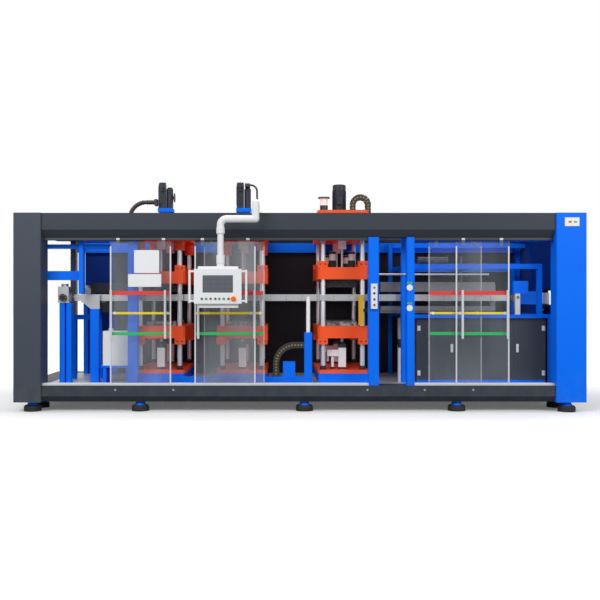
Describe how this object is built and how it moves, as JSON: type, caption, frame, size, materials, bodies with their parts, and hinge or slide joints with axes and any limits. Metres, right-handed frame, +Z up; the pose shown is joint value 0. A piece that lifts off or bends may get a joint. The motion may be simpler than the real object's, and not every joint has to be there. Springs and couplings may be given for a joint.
{
  "type": "thermoforming machine",
  "caption": "Long portal-framed machine that heats plastic sheet on chain rails, forms it in column presses and stacks the parts, with sliding clear doors and a swinging control pendant.",
  "frame": {"origin": "middle of the overall box on the floor", "axes": "+X along the sheet's run, infeed at -X and outfeed at +X; +Y to the rear, the operator's side at -Y; +Z up"},
  "size_m": [6.6, 2.33, 2.782],
  "materials": {
    "charcoal_paint": "satin",
    "azure_paint": "satin",
    "orange_paint": "satin",
    "dark_panel": "matte",
    "white_paint": "satin",
    "light_grey_paint": "satin",
    "motor_paint": "satin",
    "yellow_paint": "satin",
    "chrome": "polished",
    "steel": "brushed",
    "aluminium": "satin",
    "rubber": "matte",
    "black_plastic": "matte",
    "white_plastic": "gloss",
    "button_plastic": "gloss",
    "stop_plastic": "gloss",
    "clear_sheet": "clear",
    "screen_glass": "gloss"
  },
  "bodies": {
    "frame": {"air_cylinders": "white_paint", "base_beams": "charcoal_paint", "button_station": "white_plastic", "cabinet_body": "charcoal_paint", "cable_guides": "black_plastic", "chain_rails": "steel", "door_tracks": "aluminium", "drive_motors": "motor_paint", "floor_plate": "aluminium", "foot_collars": "azure_paint", "foot_pads": "rubber", "guide_columns": "chrome", "heater_banks": "charcoal_paint", "infeed_gearbox": "steel", "inner_frame": "azure_paint", "left_columns": "charcoal_paint", "light_guard": "yellow_paint", "lubrication_unit": "light_grey_paint", "motor_flanges": "azure_paint", "pendant_mount": "white_paint", "press_frames": "orange_paint", "press_sub_bases": "azure_paint", "rear_panels": "dark_panel", "right_columns": "azure_paint", "stack_guides": "steel", "station_buttons": "button_plastic", "top_beams": "charcoal_paint"},
    "door_1": {"door_1_sheet": "clear_sheet", "door_1_trim": "white_plastic"},
    "door_2": {"door_2_sheet": "clear_sheet", "door_2_trim": "white_plastic"},
    "door_3": {"door_3_sheet": "clear_sheet", "door_3_trim": "white_plastic"},
    "door_4": {"door_4_sheet": "clear_sheet", "door_4_trim": "white_plastic"},
    "door_5": {"door_5_sheet": "clear_sheet", "door_5_trim": "white_plastic"},
    "upper_press_1": {"upper_platen_1": "orange_paint", "upper_tool_1": "aluminium"},
    "lower_press_1": {"lower_platen_1": "orange_paint", "lower_tool_1": "aluminium"},
    "upper_press_2": {"upper_platen_2": "orange_paint", "upper_tool_2": "aluminium"},
    "lower_press_2": {"lower_platen_2": "orange_paint", "lower_tool_2": "aluminium"},
    "upper_press_3": {"upper_platen_3": "orange_paint", "upper_tool_3": "aluminium"},
    "lower_press_3": {"lower_platen_3": "orange_paint", "lower_tool_3": "aluminium"},
    "infeed": {"infeed_shaft": "steel"},
    "outfeed": {"outfeed_shaft": "steel"},
    "stacker_top": {"upper_stacker": "aluminium"},
    "stacker_bottom": {"lower_stacker": "aluminium"},
    "arm": {"pendant_arm": "white_paint"},
    "pendant": {"pendant_box": "white_paint", "pendant_screen": "screen_glass", "pendant_buttons": "button_plastic"},
    "stop_button": {"emergency_stop": "stop_plastic"},
    "cabinet_left": {"cabinet_door_left": "charcoal_paint"},
    "cabinet_right": {"cabinet_door_right": "charcoal_paint"}
  },
  "joints": [
    {"name": "door_1_slide", "type": "slide", "parent": "frame", "child": "door_1", "axis": [1, 0, 0], "range_m": [-0.75, 0.1]},
    {"name": "door_2_slide", "type": "slide", "parent": "frame", "child": "door_2", "axis": [1, 0, 0], "range_m": [-0.12, 1.25]},
    {"name": "door_3_slide", "type": "slide", "parent": "frame", "child": "door_3", "axis": [1, 0, 0], "range_m": [-1.8, 1.15]},
    {"name": "door_4_slide", "type": "slide", "parent": "frame", "child": "door_4", "axis": [1, 0, 0], "range_m": [-0.15, 0.55]},
    {"name": "door_5_slide", "type": "slide", "parent": "frame", "child": "door_5", "axis": [1, 0, 0], "range_m": [-0.45, 0.2]},
    {"name": "upper_press_1_slide", "type": "slide", "parent": "frame", "child": "upper_press_1", "axis": [0, 0, 1], "range_m": [-0.07, 0.07]},
    {"name": "upper_press_2_slide", "type": "slide", "parent": "frame", "child": "upper_press_2", "axis": [0, 0, 1], "range_m": [-0.07, 0.07]},
    {"name": "upper_press_3_slide", "type": "slide", "parent": "frame", "child": "upper_press_3", "axis": [0, 0, 1], "range_m": [-0.12, 0.02]},
    {"name": "lower_press_1_slide", "type": "slide", "parent": "frame", "child": "lower_press_1", "axis": [0, 0, 1], "range_m": [0, 0.25]},
    {"name": "lower_press_2_slide", "type": "slide", "parent": "frame", "child": "lower_press_2", "axis": [0, 0, 1], "range_m": [0, 0.25]},
    {"name": "lower_press_3_slide", "type": "slide", "parent": "frame", "child": "lower_press_3", "axis": [0, 0, 1], "range_m": [0, 0.25]},
    {"name": "stacker_top_slide", "type": "slide", "parent": "frame", "child": "stacker_top", "axis": [0, 0, 1], "range_m": [-0.06, 0.08]},
    {"name": "stacker_bottom_slide", "type": "slide", "parent": "frame", "child": "stacker_bottom", "axis": [0, 0, 1], "range_m": [0, 0.09]},
    {"name": "infeed_turn", "type": "hinge", "parent": "frame", "child": "infeed", "pos_m": [-2.785, 0.165, 1.3225], "axis": [0, 1, 0], "continuous": true},
    {"name": "outfeed_turn", "type": "hinge", "parent": "frame", "child": "outfeed", "pos_m": [2.622, 0.165, 1.3225], "axis": [0, 1, 0], "continuous": true},
    {"name": "arm_swing", "type": "hinge", "parent": "frame", "child": "arm", "pos_m": [-0.506, -1.035, 2.207], "axis": [0, 0, 1], "range_deg": [0, 75]},
    {"name": "pendant_swivel", "type": "hinge", "parent": "arm", "child": "pendant", "pos_m": [-0.901, -1.035, 1.7], "axis": [0, 0, 1], "range_deg": [-20, 20]},
    {"name": "stop_push", "type": "slide", "parent": "pendant", "child": "stop_button", "axis": [0, 1, 0], "range_m": [0, 0.005], "stiffness_N_per_m": 1500, "springref_m": -0.001},
    {"name": "cabinet_left_swing", "type": "hinge", "parent": "frame", "child": "cabinet_left", "pos_m": [1.42, -0.385, 0.688], "axis": [0, 0, -1], "range_deg": [0, 40]},
    {"name": "cabinet_right_swing", "type": "hinge", "parent": "frame", "child": "cabinet_right", "pos_m": [2.97, -0.385, 0.688], "axis": [0, 0, 1], "range_deg": [0, 75]}
  ],
  "couplings": [
    {"joint": "outfeed_turn", "follows": "infeed_turn", "ratio": 1}
  ]
}
